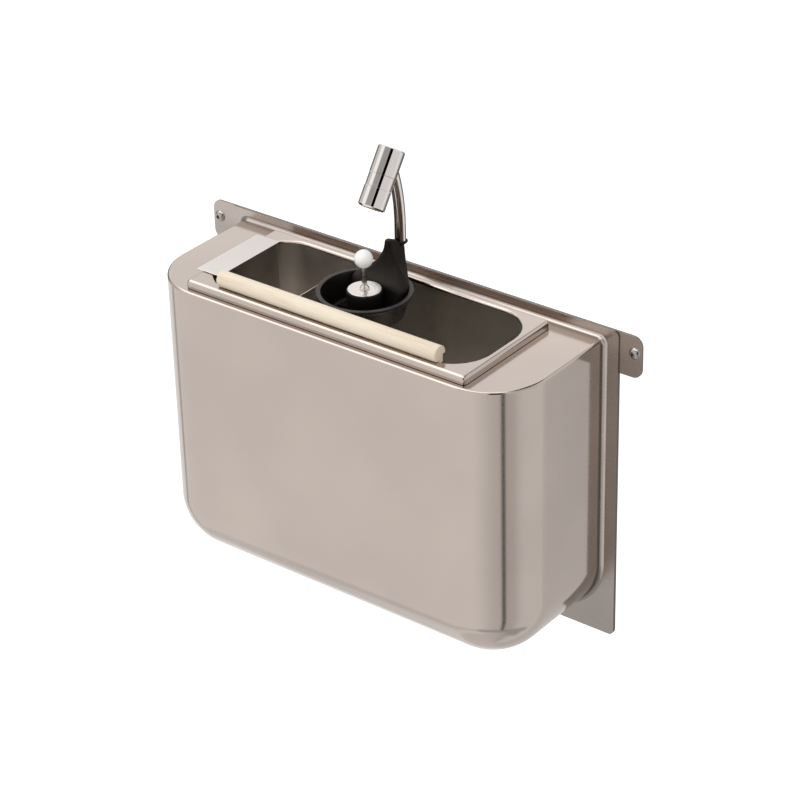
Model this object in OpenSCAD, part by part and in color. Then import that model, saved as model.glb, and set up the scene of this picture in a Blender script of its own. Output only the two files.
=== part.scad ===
// Wall-hung dipper well: a rinsing sink for ice-cream scoops, with a drop-in pan, a press valve and a swing
// spout.
// Frame: the origin is on the wall, midway between the two wall screws. X runs along the wall to the right,
// Y points into the wall and Z points up. Lengths are in millimetres and angles in degrees.

/* [Wall flange] */
// Width of the flange beside the casing
flange_side = 15.5; // [12:0.5:20]
// Height of the flange below the casing
flange_foot = 17; // [14:0.5:24]
// Height of the flange's top edge above the wall screws
flange_over = 17.5; // [16:0.5:20]
// Thickness of the flange sheet
flange_sheet = 1.2; // [0.8:0.1:1.5]
// Radius of the flange's corners
flange_r = 6; // [4:0.5:8]

/* [Mounting rail] */
// Distance from the flange's edge out to a wall screw
screw_out = 16.5; // [15:0.5:20]
// Height of the rail
rail_h = 42.5; // [40:0.5:50]
// Thickness of the rail
rail_sheet = 2; // [1.5:0.1:2.5]
// Reach of each ear past its screw
ear_reach = 8; // [7.5:0.5:11]
// Radius of the ears' outer corners
ear_r = 10; // [8:0.5:14]
// Diameter of the wall screws' shanks
screw_d = 6; // [5:0.5:6.5]
// Diameter of the wall screws' heads
screw_head_d = 12; // [10:0.5:13]
// Height of the wall screws' heads
screw_head_h = 3.6; // [3:0.1:4.5]
// Length of a wall screw's shank behind the rail
screw_reach = 7; // [6:0.5:8]

/* [Casing] */
// Width of the casing
casing_w = 426; // [415:1:430]
// Depth of the casing in front of the flange
casing_d = 150; // [148:1:165]
// Height of the casing
casing_h = 301.5; // [295:0.5:304]
// Radius of the casing's front and lower edges
casing_r = 60; // [50:1:65]
// Thickness of the casing sheet
casing_sheet = 1.2; // [0.8:0.1:1.5]
// Radius of the hollow bend where the casing meets the flange
casing_root_r = 4.5; // [3:0.5:6]
// Distance from the flange's top edge down to the deck
deck_drop = 11; // [9:0.5:14]
// Thickness of the deck plate
deck_sheet = 1.5; // [1:0.1:2]

/* [Pan] */
// Length of the pan's rim
rim_l = 325; // [322:1:330]
// Width of the pan's rim
rim_w = 132; // [130:1:134]
// Height of the turned-down rim
rim_h = 8.5; // [6:0.5:10]
// Radius of the rim's outer corners
rim_r = 4; // [3:0.5:8]
// Inner length of the pan at the top
pan_l = 310; // [306:1:311]
// Inner width of the pan at the top
pan_w = 115; // [112:1:116]
// Inner corner radius of the pan at the top
pan_r = 40; // [36:1:42]
// Inner length of the pan at the floor
pan_floor_l = 300; // [296:1:302]
// Inner width of the pan at the floor
pan_floor_w = 106; // [103:1:107]
// Inner corner radius of the pan at the floor
pan_floor_r = 36; // [34:1:38]
// Depth of the pan below its rim
pan_depth = 150; // [140:1:160]
// Thickness of the pan sheet
pan_sheet = 1; // [0.8:0.1:1.2]
// Width of the deck in front of the pan's rim
deck_front = 6.5; // [6:0.5:8]

/* [Scoop tray] */
// Length of the plate that lies across the rim
tray_plate_l = 88; // [86:1:96]
// Distance that the plate reaches past the end of the rim
tray_over = 4; // [3:0.5:8]
// Width of the plate
tray_plate_w = 28; // [26:1:30]
// Length of the tray's folded strip below the plate
tray_l = 82; // [76:1:84]
// Inner width of the tray between its two walls
tray_w = 51; // [45:1:53]
// Depth of the tray's floor below the rim
tray_depth = 80; // [70:1:90]
// Height of the tray's outer wall above its floor
tray_wall_h = 53; // [40:1:60]
// Thickness of the tray sheet
tray_sheet = 1; // [0.8:0.1:1.2]
// Diameter of the holes in the tray's floor
tray_hole_d = 5; // [4:0.5:6]
// Distance between the holes in the tray's floor
tray_hole_pitch = 11; // [10:0.5:12]

/* [Tapping bar] */
// Diameter of the bar
bar_d = 16; // [14:0.5:17]
// Length of the bar
bar_l = 254; // [230:1:256]
// Depth of the flat that the bar stands on
bar_flat = 1.6; // [0.5:0.1:2]
// Distance from the pan's front wall back to the bar's axis
bar_inset = 3.5; // [3:0.5:6]
// Distance from the pan's front wall back to the tongue below the bar
bar_tongue_in = 2.5; // [2.2:0.1:3.5]
// Thickness of the tongue
bar_tongue_t = 5.5; // [4:0.5:6]
// Depth of the tongue below the rim
bar_tongue_h = 3; // [2:0.5:5]

/* [Rinse bowl] */
// Diameter of the bowl's rim
bowl_d = 91; // [86:1:91]
// Width of the flat rim
bowl_rim_w = 5; // [4:0.5:6]
// Height of the bowl's rim above the pan's rim
bowl_over = 9.7; // [9:0.1:12]
// Depth of the bowl
bowl_depth = 24; // [22:0.5:25]
// Wall thickness of the bowl
bowl_t = 2.5; // [2:0.1:3]
// Diameter of the bowl's floor
bowl_floor_d = 68; // [64:1:72]
// Number of drain slots in the bowl's floor
bowl_slots = 9; // [7:1:10]
// Width of a drain slot
bowl_slot_w = 3; // [2:0.5:4]

/* [Tower] */
// Distance from the bowl's axis back to the spout's axis
spout_back = 55; // [53:0.5:56]
// Height of the spout's seat above the bowl's rim
tower_h = 26; // [22:0.5:30]
// Height of the tower's front lip above the spout's seat
tower_lip = 10; // [7:0.5:12]
// Half thickness of the tower at its top
tower_r = 3.4; // [3.2:0.1:4.4]
// Half angle that the tower's foot spreads along the bowl's wall
tower_spread = 46; // [40:1:50]
// Outer diameter of the collar round the spout's foot
collar_d = 14; // [13.5:0.5:15]
// Height of the collar
collar_h = 2.6; // [2:0.1:3.5]
// Diameter of the pivot that the spout turns on
pivot_d = 4; // [3.6:0.1:4.2]

/* [Press valve] */
// Diameter of the turret in the bowl
turret_d = 34; // [33:0.5:36]
// Diameter of the press disc
disc_d = 31.6; // [31:0.1:31.9]
// Thickness of the press disc
disc_t = 2; // [1.5:0.1:2.5]
// Height of the press disc's face above the bowl's rim
disc_over = 1.2; // [0.5:0.1:2]
// Travel of the press valve
press_travel = 5.5; // [4:0.5:6]
// Diameter of the post
post_d = 5; // [4:0.5:5.5]
// Diameter of the ball knob
ball_d = 17.5; // [16:0.5:20]
// Height of the ball's centre above the press disc
ball_up = 30.5; // [28:0.5:34]
// Outer diameter of the valve cartridge
cartridge_d = 20; // [18:0.5:21]
// Wire thickness of the return spring
spring_wire = 1; // [0.8:0.1:1.2]
// Mean diameter of the return spring
spring_d = 14; // [13:0.5:15]
// Number of turns of the return spring
spring_turns = 5; // [4:1:6]

/* [Spout] */
// Outer diameter of the spout tube
tube_d = 11; // [10:0.5:11.5]
// Wall thickness of the spout tube
tube_t = 1; // [0.8:0.1:1.2]
// Height of the tube's straight part
tube_rise = 20; // [16:1:24]
// Radius of the tube's bend
tube_bend_r = 180; // [150:5:220]
// Angle of the tube's bend
tube_bend = 18; // [14:0.5:20]
// Diameter of the spout head
head_d = 26; // [25:0.5:28]
// Length of the spout head
head_l = 58; // [56:1:60]
// Lean of the head's axis from upright
head_lean = 35.4; // [30:0.2:40]
// Length of the head's body above the flow ring
head_body_l = 26; // [25:0.5:27]
// Height of the flow ring
flow_ring_l = 13; // [10:0.5:14]
// Diameter of the head's core
core_d = 18; // [16:0.5:19]
// Diameter of the holes in the spray plate
spray_hole_d = 1.6; // [1.2:0.1:2]

/* [Water supply and drain] */
// Outer diameter of the water column
column_d = 30; // [28:0.5:31]
// Wall thickness of the water column
column_t = 2; // [1.5:0.1:2.5]
// Diameter of the inlet tail
inlet_d = 20; // [18:0.1:21]
// Length of the inlet tail below the pan
inlet_l = 44; // [40:1:60]
// Distance from the bowl's axis to the drain's axis
drain_x = 95; // [90:1:100]
// Outer diameter of the drain's threaded neck
drain_d = 44; // [42:1:46]
// Outer diameter of the drain tail
drain_tail_d = 40; // [36:1:41]
// Length of the drain tail below the pan
drain_l = 75; // [65:1:90]
// Diameter of the drain's flange
drain_flange_d = 62; // [60:1:66]
// Room round a tail, where its pipe comes up through the casing's bottom
pipe_room = 16; // [14:1:20]
// Number of holes in each ring of the strainer
strainer_holes = 8; // [6:1:9]

/* [Hidden] */
$fn = 64;

// Gap between pieces that lie close and don't move on each other
seat_gap = 0.3;
// Radial clearance of the running fits
running_gap = 0.06;
// Overrun that cuts through a face
over = 2;
full_turn = 360;

// Places on the wall flange and the casing
flange_w = casing_w + 2 * flange_side;
screw_pitch = flange_w + 2 * screw_out;
flange_top = flange_over;
flange_stand = rail_sheet + seat_gap + flange_sheet;
flange_front = -flange_stand;
rail_top = flange_top;
rail_bottom = rail_top - rail_h;
rail_w = screw_pitch + 2 * ear_reach;
// Plain neck of a wall screw, which fills the rail's hole and stands out behind it a little
screw_neck_t = 0.2;
screw_neck_r = screw_d / 2 + screw_neck_t;
screw_neck_over = 0.5;
deck_top = flange_top - deck_drop;
deck_bottom = deck_top - deck_sheet;
casing_bottom = deck_top - casing_h;
casing_front = flange_front - casing_d;
flange_bottom = casing_bottom - flange_foot;
flange_h = flange_top - flange_bottom;

// Places on the pan
pan_y = casing_front + deck_front + rim_w / 2;
rim_top = deck_top + seat_gap + rim_h;
pan_floor = rim_top - pan_depth;
pan_cut_gap = 1.5;

// Places on the bowl and the valve, whose axis stands in the middle of the pan
bowl_rim = rim_top + bowl_over;
bowl_floor = bowl_rim - bowl_depth;
bowl_under = bowl_floor - bowl_t;
hub_r = column_d / 2 + bowl_t;
water_r = 3;
socket_depth = 12;
hub_bottom = bowl_under - socket_depth - bowl_t;
column_top = bowl_under - 2 * bowl_t;
disc_top = bowl_rim + disc_over;
disc_bottom = disc_top - disc_t;
turret_top = bowl_rim;
turret_web_h = 7;
turret_web_top = bowl_floor + turret_web_h;
cartridge_top = turret_web_top;
cartridge_bottom = bowl_under - 2 * turret_web_h;
cartridge_wall = 3;
stem_d = 6;
chamber_d = cartridge_d - 2 * cartridge_wall;
chamber_top = cartridge_top - 2 * cartridge_wall;
chamber_bottom = cartridge_bottom + cartridge_wall;
poppet_gap = 1.5;
poppet_d = chamber_d - 2 * poppet_gap;
poppet_t = 3;
washer_t = 1.5;
seal_wire = 1.6;
seal_well_d = stem_d + 2 * (seal_wire + seat_gap);
seal_well_h = seal_wire + 2 * seat_gap;

// Places on the spout
spout_y = pan_y + spout_back;
tube_r = tube_d / 2;
seat_z = bowl_rim + tower_h;
tube_foot = seat_z + 2 * seat_gap;
pivot_r = pivot_d / 2;
pivot_grip = 10;
clip_h = 2;
clip_t = 1.1;
pivot_seal_wire = 1;
pivot_foot = bowl_rim + 2 * seat_gap;
pivot_well_r = pivot_r + clip_t + seat_gap;
pivot_well_h = clip_h + pivot_seal_wire + 4 * seat_gap;
bend_start = tube_foot + tube_rise;
tube_end_y = spout_y - tube_bend_r * (1 - cos(tube_bend));
tube_end_z = bend_start + tube_bend_r * sin(tube_bend);
// Angle between the tube's end and the head's axis
head_meet = head_lean + tube_bend;
head_r = head_d / 2;
core_r = core_d / 2;
// Length of tube inside the head
tube_bite = 3.4;
// Distance from the head's middle up its axis to where the tube goes in
tube_entry = head_l / 2 - head_body_l + tube_r / sin(head_meet) + 2 * seat_gap;
// Middle of the head, worked back from where the tube goes in
head_y = tube_end_y - head_r * cos(head_lean) - tube_entry * sin(head_lean);
head_z = tube_end_z + head_r * sin(head_lean) - tube_entry * cos(head_lean);
body_foot = head_l / 2 - head_body_l;
ring_foot = body_foot - flow_ring_l;
nozzle_foot = -head_l / 2;
spigot_r = core_r * 0.62;
spigot_h = 4;
nozzle_l = ring_foot - nozzle_foot;
core_bottom = ring_foot - nozzle_l / 2;
spray_t = 1.6;
spray_recess = 1.6;
mouth_t = 1;
mouth_r = core_r + mouth_t;

// Places under the pan
gasket_t = 2;
nut_h = 8;
under_pan = pan_floor - pan_sheet;
thread_h = 0.4;
thread_r = inlet_d / 2 + thread_h;
thread_spare = 2;
thread_l = gasket_t + nut_h + 4 * seat_gap + thread_spare;
foot_reach = 11;
foot_r = thread_r + foot_reach;
foot_h = 3;
inlet_t = 3;
column_bore = inlet_d - 2 * inlet_t;
// Distance that a nut's flats stay inside the rim of the gasket above it
nut_in = 2.5;
drain_lip_h = 2;
drain_t = 2;
drain_neck_l = drain_l / 3;
// Depth of the tail's socket, which is pushed up over the neck
drain_socket = 11;
strainer_t = 1.2;
strainer_r = drain_d / 2 - drain_t - seat_gap;

// Colours
steel = "#b3a99c";
deck_steel = "#cfc7be";
dark_steel = "#6d625a";
bright = "#d8d6d3";
black = "#1d1c1b";
brass = "#b9974f";
wood = "#efe0c4";
white = "#f4f1ee";
rubber = "#2b2b2b";

// Outline with round corners, centred on the origin
module round_rect(l, w, r) {
    square([l - 2 * r, w], center = true);
    square([l, w - 2 * r], center = true);
    for (sx = [-1, 1], sy = [-1, 1])
        translate([sx * (l / 2 - r), sy * (w / 2 - r)]) circle(r);
}

// Tube standing on the origin
module pipe(r_out, r_in, h) {
    difference() {
        cylinder(r = r_out, h = h);
        translate([0, 0, -over]) cylinder(r = r_in, h = h + 2 * over);
    }
}

// Ring of round section round the Z axis
module ring_seal(r_mean, wire) {
    rotate_extrude() translate([r_mean, 0]) circle(d = wire, $fn = 24);
}

// Hexagon nut standing on the origin
module hex_nut(width, bore_r, h) {
    difference() {
        cylinder(d = width / cos(30), h = h, $fn = 6);
        translate([0, 0, -over]) cylinder(r = bore_r, h = h + 2 * over);
    }
}

// Block with a round front and a round lower edge, its back on the plane y = 0 and its foot on z = 0
module tub(w, d, h, r) {
    x = w / 2 - r;
    y = -(d - r);
    for (s = [-1, 1]) translate([s * x, y, r]) {
        sphere(r);
        cylinder(r = r, h = h - r);
        rotate([-90, 0, 0]) cylinder(r = r, h = d - r);
    }
    translate([-x, y, r]) rotate([0, 90, 0]) cylinder(r = r, h = 2 * x);
    translate([-x, -d, r]) cube([2 * x, d, h - r]);
    translate([-w / 2, y, r]) cube([w, d - r, h - r]);
    translate([-x, y, 0]) cube([2 * x, d - r, h]);
}

// Concave strip of radius r between a wall on the plane x = 0 and a plate on the plane y = 0, rooted in the
// wall
module root_profile(r) {
    bite = casing_sheet / 2;
    difference() {
        translate([-bite, 0]) square([r + bite, r]);
        translate([r, r]) circle(r);
    }
}

// Hollow bend that leads the casing's sides and bottom into the flange
module casing_root() {
    straight = casing_h - deck_sheet - casing_r;
    span = casing_w - 2 * casing_r;
    for (s = [0, 1]) mirror([s, 0, 0]) {
        translate([casing_w / 2, 0, casing_r]) linear_extrude(straight)
            mirror([0, 1]) root_profile(casing_root_r);
        translate([casing_w / 2 - casing_r, 0, casing_r]) rotate([90, 90, 0]) rotate_extrude(angle = 90)
            translate([casing_r, 0]) root_profile(casing_root_r);
    }
    translate([-span / 2, 0, 0]) rotate([90, 0, 90]) linear_extrude(span)
        mirror([1, 1]) root_profile(casing_root_r);
}

module casing_shell() {
    color(steel) translate([0, flange_front, casing_bottom]) {
        difference() {
            tub(casing_w, casing_d, casing_h - deck_sheet, casing_r);
            translate([0, over, casing_sheet])
                tub(casing_w - 2 * casing_sheet, casing_d - casing_sheet + over, casing_h,
                    casing_r - casing_sheet);
            translate([0, pan_y - flange_front, -over])
                cylinder(r = inlet_d / 2 + pipe_room, h = casing_r / 2);
            translate([drain_x, pan_y - flange_front, -over])
                cylinder(r = drain_tail_d / 2 + pipe_room, h = casing_r / 2);
        }
        casing_root();
    }
}

module deck_plate() {
    x = casing_w / 2 - casing_r;
    color(deck_steel) difference() {
        translate([0, 0, deck_bottom]) linear_extrude(deck_sheet) {
            translate([-x, casing_front]) square([2 * x, casing_d]);
            translate([-casing_w / 2, casing_front + casing_r]) square([casing_w, casing_d - casing_r]);
            for (s = [-1, 1]) translate([s * x, casing_front + casing_r]) circle(casing_r);
        }
        translate([0, pan_y, deck_bottom - over]) linear_extrude(deck_sheet + 2 * over)
            round_rect(pan_l + 2 * (pan_sheet + pan_cut_gap), pan_w + 2 * (pan_sheet + pan_cut_gap),
                pan_r + pan_sheet + pan_cut_gap);
    }
}

// Outline of the casing's inside, as the flange is cut for it
module casing_window() {
    w = casing_w - 2 * casing_sheet;
    r = casing_r - casing_sheet;
    translate([-w / 2 + r, casing_bottom + casing_sheet])
        square([w - 2 * r, casing_h - casing_sheet - deck_sheet]);
    translate([-w / 2, casing_bottom + casing_r]) square([w, casing_h - casing_r - deck_sheet]);
    for (s = [-1, 1]) translate([s * (w / 2 - r), casing_bottom + casing_r]) circle(r);
}

module wall_flange() {
    mid_z = (flange_top + flange_bottom) / 2;
    ear_cut = rail_sheet + seat_gap;
    color(dark_steel) difference() {
        translate([0, 0, mid_z]) rotate([90, 0, 0]) linear_extrude(flange_stand)
            round_rect(flange_w, flange_h, flange_r);
        translate([0, over, mid_z]) rotate([90, 0, 0]) linear_extrude(flange_stand - flange_sheet + over)
            round_rect(flange_w - 2 * flange_sheet, flange_h - 2 * flange_sheet, flange_r - flange_sheet);
        translate([0, over, 0]) rotate([90, 0, 0]) linear_extrude(flange_stand + 2 * over) casing_window();
        translate([-rail_w / 2, -ear_cut, rail_bottom - seat_gap])
            cube([rail_w, ear_cut + over, rail_h + over]);
    }
}

module mounting_rail() {
    color(dark_steel) difference() {
        translate([0, 0, (rail_top + rail_bottom) / 2]) rotate([90, 0, 0]) linear_extrude(rail_sheet)
            round_rect(rail_w, rail_h, ear_r);
        for (s = [-1, 1]) translate([s * screw_pitch / 2, over, 0]) rotate([90, 0, 0])
            cylinder(r = screw_neck_r + seat_gap, h = rail_sheet + 2 * over);
    }
}

module wall_screws() {
    socket_r = screw_head_d / 5;
    dome_r = (pow(screw_head_d / 2, 2) + pow(screw_head_h, 2)) / (2 * screw_head_h);
    color(bright) for (s = [-1, 1]) translate([s * screw_pitch / 2, -rail_sheet, 0]) {
        rotate([90, 0, 0]) difference() {
            intersection() {
                translate([0, 0, screw_head_h - dome_r]) sphere(dome_r);
                cylinder(d = screw_head_d, h = screw_head_h + over);
            }
            translate([0, 0, screw_head_h / 2]) cylinder(r = socket_r, h = screw_head_h, $fn = 6);
        }
        rotate([-90, 0, 0]) cylinder(r = screw_neck_r, h = rail_sheet + screw_neck_over);
        rotate([-90, 0, 0]) cylinder(d = screw_d, h = rail_sheet + screw_neck_over + screw_reach);
    }
}

// Inside of the pan, grown all round by t and reaching from the floor to h above the rim
module pan_body(t, h) {
    lip = 0.5;
    hull() {
        translate([0, 0, pan_floor - t]) linear_extrude(lip)
            round_rect(pan_floor_l + 2 * t, pan_floor_w + 2 * t, pan_floor_r + t);
        translate([0, 0, rim_top - lip]) linear_extrude(lip)
            round_rect(pan_l + 2 * t, pan_w + 2 * t, pan_r + t);
    }
    translate([0, 0, rim_top - lip]) linear_extrude(lip + h)
        round_rect(pan_l + 2 * t, pan_w + 2 * t, pan_r + t);
}

module pan() {
    skirt_l = rim_l - 2 * pan_sheet;
    skirt_w = rim_w - 2 * pan_sheet;
    color(steel) translate([0, pan_y, 0]) difference() {
        union() {
            pan_body(pan_sheet, 0);
            difference() {
                translate([0, 0, rim_top - rim_h]) linear_extrude(rim_h) round_rect(rim_l, rim_w, rim_r);
                translate([0, 0, rim_top - rim_h - over]) linear_extrude(rim_h + over - pan_sheet)
                    round_rect(skirt_l, skirt_w, rim_r - pan_sheet);
            }
        }
        pan_body(0, over);
        translate([0, 0, under_pan - over]) cylinder(r = thread_r + seat_gap, h = pan_sheet + 2 * over);
        translate([drain_x, 0, under_pan - over])
            cylinder(d = drain_d + 2 * seat_gap, h = pan_sheet + 2 * over);
    }
}

module scoop_tray() {
    left = -rim_l / 2 - tray_over;
    wall_x = left + tray_plate_w - tray_sheet;
    floor_z = rim_top - tray_depth;
    far_x = wall_x + tray_sheet + tray_w;
    plate_z = rim_top + seat_gap;
    cols = floor((tray_w - tray_hole_d) / tray_hole_pitch);
    rows = floor((tray_l - tray_hole_d) / tray_hole_pitch);
    mid_x = wall_x + tray_sheet + tray_w / 2;
    color(bright) translate([0, pan_y, 0]) difference() {
        union() {
            translate([left, -tray_plate_l / 2, plate_z]) cube([tray_plate_w, tray_plate_l, tray_sheet]);
            translate([wall_x, -tray_l / 2, floor_z])
                cube([tray_sheet, tray_l, plate_z - floor_z + tray_sheet]);
            translate([wall_x, -tray_l / 2, floor_z]) cube([tray_w + 2 * tray_sheet, tray_l, tray_sheet]);
            translate([far_x, -tray_l / 2, floor_z]) cube([tray_sheet, tray_l, tray_wall_h]);
        }
        for (i = [0:cols - 1], j = [0:rows - 1])
            translate([mid_x + (i - (cols - 1) / 2) * tray_hole_pitch, (j - (rows - 1) / 2) * tray_hole_pitch,
                floor_z - over]) cylinder(d = tray_hole_d, h = tray_sheet + 2 * over, $fn = 24);
    }
}

module tapping_bar() {
    r = bar_d / 2;
    axis_y = pan_y - pan_w / 2 + bar_inset;
    axis_z = rim_top + seat_gap + r - bar_flat;
    back = bar_tongue_in + bar_tongue_t - bar_inset;
    color(wood) translate([-bar_l / 2, axis_y, axis_z]) rotate([90, 0, 90]) linear_extrude(bar_l) {
        difference() {
            circle(r);
            translate([-bar_d, bar_flat - r - bar_d]) square([2 * bar_d, bar_d]);
            translate([back, -bar_d - r / 5]) square(bar_d);
        }
        translate([back - bar_tongue_t, bar_flat - r - bar_tongue_h])
            square([bar_tongue_t, bar_tongue_h + r - bar_flat]);
    }
}

// Outline of the bowl from its axis out to its rim, to be turned round the bowl's axis
module bowl_profile() {
    r_floor = bowl_floor_d / 2;
    r_rim = bowl_d / 2;
    r_mouth = r_rim - bowl_rim_w;
    polygon([[0, bowl_floor], [r_floor, bowl_floor], [r_mouth, bowl_rim - bowl_t], [r_mouth, bowl_rim],
        [r_rim, bowl_rim], [r_rim, bowl_rim - bowl_t], [r_mouth + bowl_t, bowl_rim - 2 * bowl_t],
        [r_floor + bowl_t / 2, bowl_floor - bowl_t / 2], [hub_r + bowl_t, bowl_under - bowl_t],
        [hub_r, hub_bottom], [0, hub_bottom]]);
}

// Thickness of the tower's slices and depth that its foot reaches into the bowl's wall
tower_slice = 0.4;
tower_bite = 1.2;
// The tower's levels above the bowl's rim, as shares of its height, and at each level the reach of its front
// as a share of the spout's distance, its half thickness in front and behind as shares of that at the top,
// and its spread as a share of the foot's
tower_z_shares = [0, 0.19, 0.5, 0.88];
tower_reach_shares = [0.62, 0.645, 0.665, 0.68];
tower_front_shares = [2.3, 1.9, 1.5, 1.25];
tower_back_shares = [1.55, 1.45, 1.25, 1.05];
tower_spread_shares = [1, 0.62, 0.26, 0.08];

// Front of the tower at one level: discs of radius r along an arc of radius reach, spread to both sides
module tower_front(z, reach, r, spread) {
    translate([0, 0, z]) linear_extrude(tower_slice)
        for (a = [-spread, 0, spread]) rotate(a) translate([0, reach - r]) circle(r, $fn = 32);
}

// Back of the tower at one level: a disc round the spout's axis
module tower_back(z, r) {
    translate([0, spout_back, z]) cylinder(r = r, h = tower_slice, $fn = 32);
}

module tower_level(k) {
    z = bowl_rim + tower_h * tower_z_shares[k];
    r = tower_r * tower_front_shares[k];
    tower_front(z, spout_back * tower_reach_shares[k] + r, r, tower_spread * tower_spread_shares[k]);
    tower_back(z, tower_r * tower_back_shares[k]);
}

module tower_form() {
    mouth = bowl_d / 2 - bowl_rim_w + tower_bite;
    low = rim_top + tower_slice;
    r = tower_r * tower_front_shares[0];
    hull() {
        tower_front(bowl_floor - tower_bite, bowl_floor_d / 2, r, tower_spread);
        tower_front(low, mouth, r, tower_spread);
    }
    hull() {
        tower_front(low, mouth, r, tower_spread);
        tower_back(low, tower_r * tower_back_shares[0]);
        tower_level(0);
    }
    for (k = [0:2]) hull() {
        tower_level(k);
        tower_level(k + 1);
    }
    hull() {
        tower_level(3);
        tower_front(seat_z + tower_lip, spout_back * tower_reach_shares[3] + tower_r, tower_r, 0);
        tower_back(seat_z - tower_slice, tower_r);
    }
}

// Water way from the valve out to the tower's foot and up to the foot of the spout's pivot
module water_way() {
    turn = [0, bowl_floor_d / 2 - 2 * water_r, bowl_under - bowl_t / 2];
    run = [0, spout_back - water_r / 2, bowl_rim + seat_gap] - turn;
    translate([0, 0, turn[2]]) rotate([-90, 0, 0]) cylinder(r = water_r, h = turn[1] + water_r);
    translate(turn) rotate([-atan2(run[1], run[2]), 0, 0]) cylinder(r = water_r * 0.9, h = norm(run));
}

module rinse_bowl() {
    margin = 3;
    slot_in = turret_d / 2 + margin;
    slot_l = bowl_floor_d / 2 - margin - slot_in;
    turn = (full_turn - 3 * tower_spread) / (bowl_slots - 1);
    color(black) translate([0, pan_y, 0]) difference() {
        union() {
            rotate_extrude($fn = 96) bowl_profile();
            tower_form();
            translate([0, 0, bowl_under - bowl_t / 2]) rotate([-90, 0, 0])
                cylinder(r = water_r + bowl_t, h = bowl_floor_d / 2);
        }
        translate([0, 0, hub_bottom - over]) cylinder(d = cartridge_d + 2 * running_gap, h = bowl_depth);
        translate([0, 0, hub_bottom - over])
            cylinder(d = column_d + 2 * running_gap, h = column_top + running_gap - hub_bottom + over);
        translate([0, 0, bowl_floor]) cylinder(d = turret_d + 2 * seat_gap, h = bowl_depth + over);
        translate([0, spout_back, bowl_rim]) cylinder(r = pivot_well_r, h = pivot_well_h);
        translate([0, spout_back, bowl_rim]) cylinder(r = pivot_r + running_gap, h = tower_h + over);
        translate([0, spout_back, seat_z]) cylinder(d = collar_d + 2 * seat_gap, h = tower_h);
        water_way();
        for (i = [0:bowl_slots - 1]) rotate(-full_turn / 4 + (i - (bowl_slots - 1) / 2) * turn)
            translate([slot_in, -bowl_slot_w / 2, bowl_under - 2 * bowl_t])
                cube([slot_l, bowl_slot_w, 4 * bowl_t]);
    }
}

module tower_collar() {
    color(black) translate([0, spout_y, seat_z + seat_gap]) rotate_extrude() {
        r_in = tube_r + running_gap;
        r_out = collar_d / 2;
        bevel = collar_h / 3;
        polygon([[r_in, 0], [r_out - bevel, 0], [r_out, bevel], [r_out, collar_h - bevel],
            [r_out - bevel, collar_h], [r_in, collar_h]]);
    }
}

module turret() {
    well_r = disc_d / 2 + 2 * running_gap;
    color(black) translate([0, pan_y, 0]) difference() {
        translate([0, 0, bowl_floor]) cylinder(d = turret_d, h = turret_top - bowl_floor);
        translate([0, 0, turret_web_top]) cylinder(r = well_r, h = bowl_depth);
        translate([0, 0, bowl_floor - over]) cylinder(d = cartridge_d + 2 * running_gap, h = bowl_depth);
    }
}

module press_disc() {
    color(bright) translate([0, pan_y, disc_bottom]) difference() {
        cylinder(d = disc_d, h = disc_t);
        translate([0, 0, -over]) cylinder(d = stem_d + 2 * running_gap, h = disc_t + 2 * over);
    }
}

module press_post() {
    flare_h = 4;
    top = ball_up - ball_d / 4;
    color(bright) translate([0, pan_y, disc_top]) {
        rotate_extrude() polygon([[0, 0], [post_d * 0.9, 0], [post_d * 0.9, flare_h / 4],
            [post_d / 2, flare_h], [post_d / 2, top], [0, top]]);
    }
}

module ball_knob() {
    hole = ball_up - ball_d / 4;
    color(white) translate([0, pan_y, disc_top]) difference() {
        translate([0, 0, ball_up]) sphere(d = ball_d);
        cylinder(d = post_d + 2 * running_gap, h = hole + seat_gap);
    }
}

module valve_cartridge() {
    color(brass) translate([0, pan_y, 0]) difference() {
        translate([0, 0, cartridge_bottom]) cylinder(d = cartridge_d, h = cartridge_top - cartridge_bottom);
        translate([0, 0, chamber_bottom]) cylinder(d = chamber_d, h = chamber_top - chamber_bottom);
        translate([0, 0, chamber_top - over])
            cylinder(d = stem_d + 2 * running_gap, h = cartridge_top - chamber_top + 2 * over);
        translate([0, 0, cartridge_top - seal_well_h]) cylinder(d = seal_well_d, h = seal_well_h + over);
        translate([0, 0, cartridge_bottom - over]) cylinder(d = stem_d, h = cartridge_wall + 2 * over);
        translate([0, 0, bowl_under - bowl_t / 2]) rotate([-90, 0, 0])
            cylinder(r = tube_r / 2, h = cartridge_d);
    }
}

module valve_stem() {
    poppet_top = chamber_top - washer_t - 2 * seat_gap;
    color(brass) translate([0, pan_y, 0]) {
        translate([0, 0, poppet_top - poppet_t]) cylinder(d = poppet_d, h = poppet_t);
        translate([0, 0, poppet_top - poppet_t]) cylinder(d = stem_d, h = disc_top - poppet_top + poppet_t);
    }
}

module poppet_washer() {
    color(rubber) translate([0, pan_y, chamber_top - washer_t - seat_gap])
        pipe(poppet_d / 2, stem_d / 2 + running_gap, washer_t);
}

module stem_seal() {
    color(rubber) translate([0, pan_y, cartridge_top - seal_well_h + seat_gap + seal_wire / 2])
        ring_seal(stem_d / 2 + seal_wire / 2 + running_gap, seal_wire);
}

// Points of a ring across the spring's wire at turn t, and the spring's faces
spring_sides = 8;
spring_steps = 20;
function spring_ring(t, r, wire, z) = [for (k = [0:spring_sides - 1])
    let (a = 360 * k / spring_sides, q = r + wire / 2 * cos(a))
    [q * cos(360 * t), q * sin(360 * t), z + wire / 2 * sin(a)]];

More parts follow.
